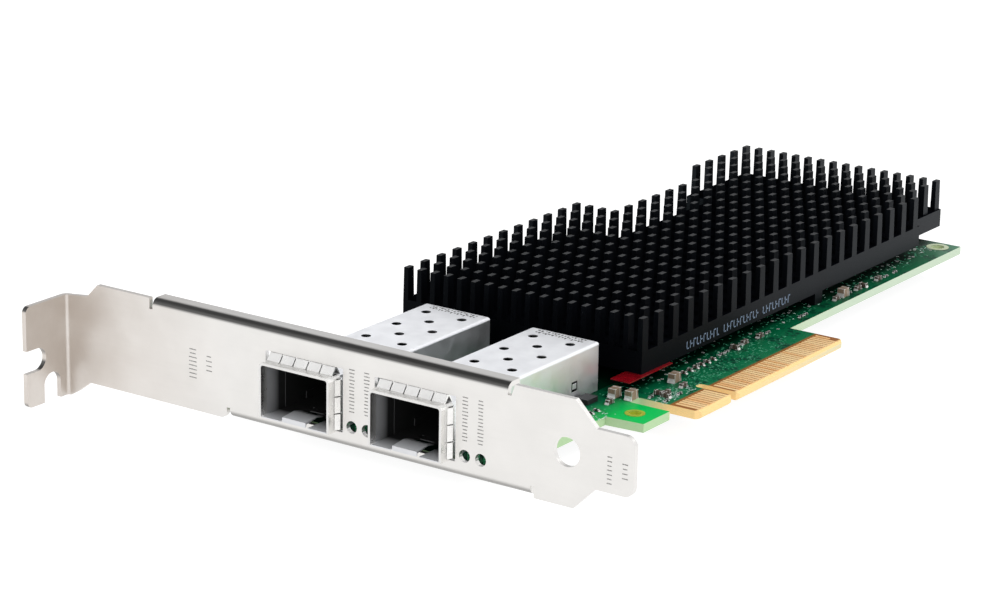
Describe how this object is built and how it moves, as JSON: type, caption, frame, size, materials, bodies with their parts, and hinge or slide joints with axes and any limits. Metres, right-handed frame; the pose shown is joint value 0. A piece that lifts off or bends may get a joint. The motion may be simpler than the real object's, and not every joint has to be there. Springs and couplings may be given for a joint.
{
  "type": "network interface card",
  "caption": "Low-profile dual-port network card with an edge connector, two small-form-factor cages, a pin-fin heat sink and a full-height bracket.",
  "frame": {"origin": "on the centre line of the edge connector's key notch, at the tips of its contacts, half way through the board", "axes": "+X along the card away from the bracket, +Y from the edge connector to the far edge of the board, +Z out of the component side"},
  "size_m": [0.1798, 0.12, 0.0216],
  "materials": {
    "board": "green solder mask over glass-fibre laminate",
    "gold": "thin hard gold plating",
    "bracket_metal": "satin nickel-plated sheet steel",
    "fastener": "zinc-plated steel",
    "cage_metal": "tin-plated copper alloy sheet",
    "spring_metal": "bright plated spring fingers",
    "black_plastic": "black moulded connector body and chip packages",
    "lamp": "pale moulded indicator lamp",
    "heat_sink_metal": "black-coated die-cast aluminium",
    "pad": "soft heat-conducting pad",
    "film": "red insulating film",
    "ceramic": "tan ceramic with tinned ends",
    "solder": "tinned ring"
  },
  "bodies": {
    "root": {"circuit_board": "board", "contacts_component_side": "gold", "contacts_solder_side": "gold", "ear_ring": "solder", "corner_ring": "solder", "bracket": "bracket_metal", "bracket_screws": "fastener", "bracket_nuts": "fastener", "cage_shell_right": "cage_metal", "cage_shell_left": "cage_metal", "cage_base_right": "cage_metal", "cage_base_left": "cage_metal", "gasket_right": "spring_metal", "gasket_left": "spring_metal", "host_connector_right": "black_plastic", "host_connector_left": "black_plastic", "link_lights": "lamp", "activity_lights": "lamp", "heat_sink": "heat_sink_metal", "heat_sink_screws": "fastener", "controller_chip": "black_plastic", "thermal_pad": "pad", "insulating_film": "film", "tall_capacitors": "ceramic", "capacitors": "ceramic", "resistors": "black_plastic", "oscillator": "fastener", "power_inductors": "black_plastic", "power_converters": "black_plastic", "flash_chip": "black_plastic", "connector_capacitors": "ceramic"}
  },
  "joints": []
}
